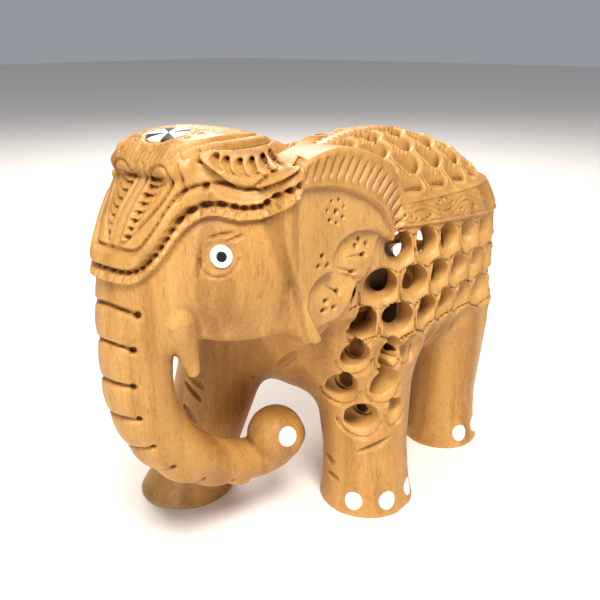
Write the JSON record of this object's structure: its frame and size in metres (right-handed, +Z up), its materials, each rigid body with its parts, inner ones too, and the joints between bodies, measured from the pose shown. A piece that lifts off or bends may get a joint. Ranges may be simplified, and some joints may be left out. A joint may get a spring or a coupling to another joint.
{
  "type": "carved wooden elephant",
  "caption": "Hand-carved hardwood elephant figurine with a pierced lattice body, a small elephant inside and inlaid eyes, toenails and brow rosette.",
  "frame": {"origin": "centre of the footprint of the whole figure, on the surface it stands on", "axes": "+Z up; the elephant faces -X and its left side faces -Y"},
  "size_m": [0.1362, 0.066, 0.1023],
  "materials": {
    "kadam_wood": "hand-carved pale hardwood, wax polished on the smooth faces, raw in the fresh cuts",
    "inner_wood": "bare wood, left from the knife and darker in the shade",
    "white_inlay": "white bone or resin disc, sanded flush",
    "black_inlay": "black horn or resin, sanded flush"
  },
  "bodies": {
    "root": {"carved_block": "kadam_wood", "inner_elephant": "inner_wood", "toenail_front_left_1": "white_inlay", "toenail_front_left_2": "white_inlay", "toenail_front_left_3": "white_inlay", "toenail_front_right_1": "white_inlay", "toenail_front_right_2": "white_inlay", "toenail_front_right_3": "white_inlay", "toenail_hind_left_1": "white_inlay", "toenail_hind_left_2": "white_inlay", "toenail_hind_left_3": "white_inlay", "toenail_hind_right_1": "white_inlay", "toenail_hind_right_2": "white_inlay", "toenail_hind_right_3": "white_inlay", "trunk_tip_disc_left": "white_inlay", "trunk_tip_disc_right": "white_inlay", "eye_white_left": "white_inlay", "eye_white_right": "white_inlay", "rosette_white_1": "white_inlay", "rosette_white_2": "white_inlay", "rosette_white_3": "white_inlay", "rosette_white_4": "white_inlay", "eye_pupil_left": "black_inlay", "eye_pupil_right": "black_inlay", "rosette_black_1": "black_inlay", "rosette_black_2": "black_inlay", "rosette_black_3": "black_inlay", "rosette_black_4": "black_inlay"}
  },
  "joints": []
}
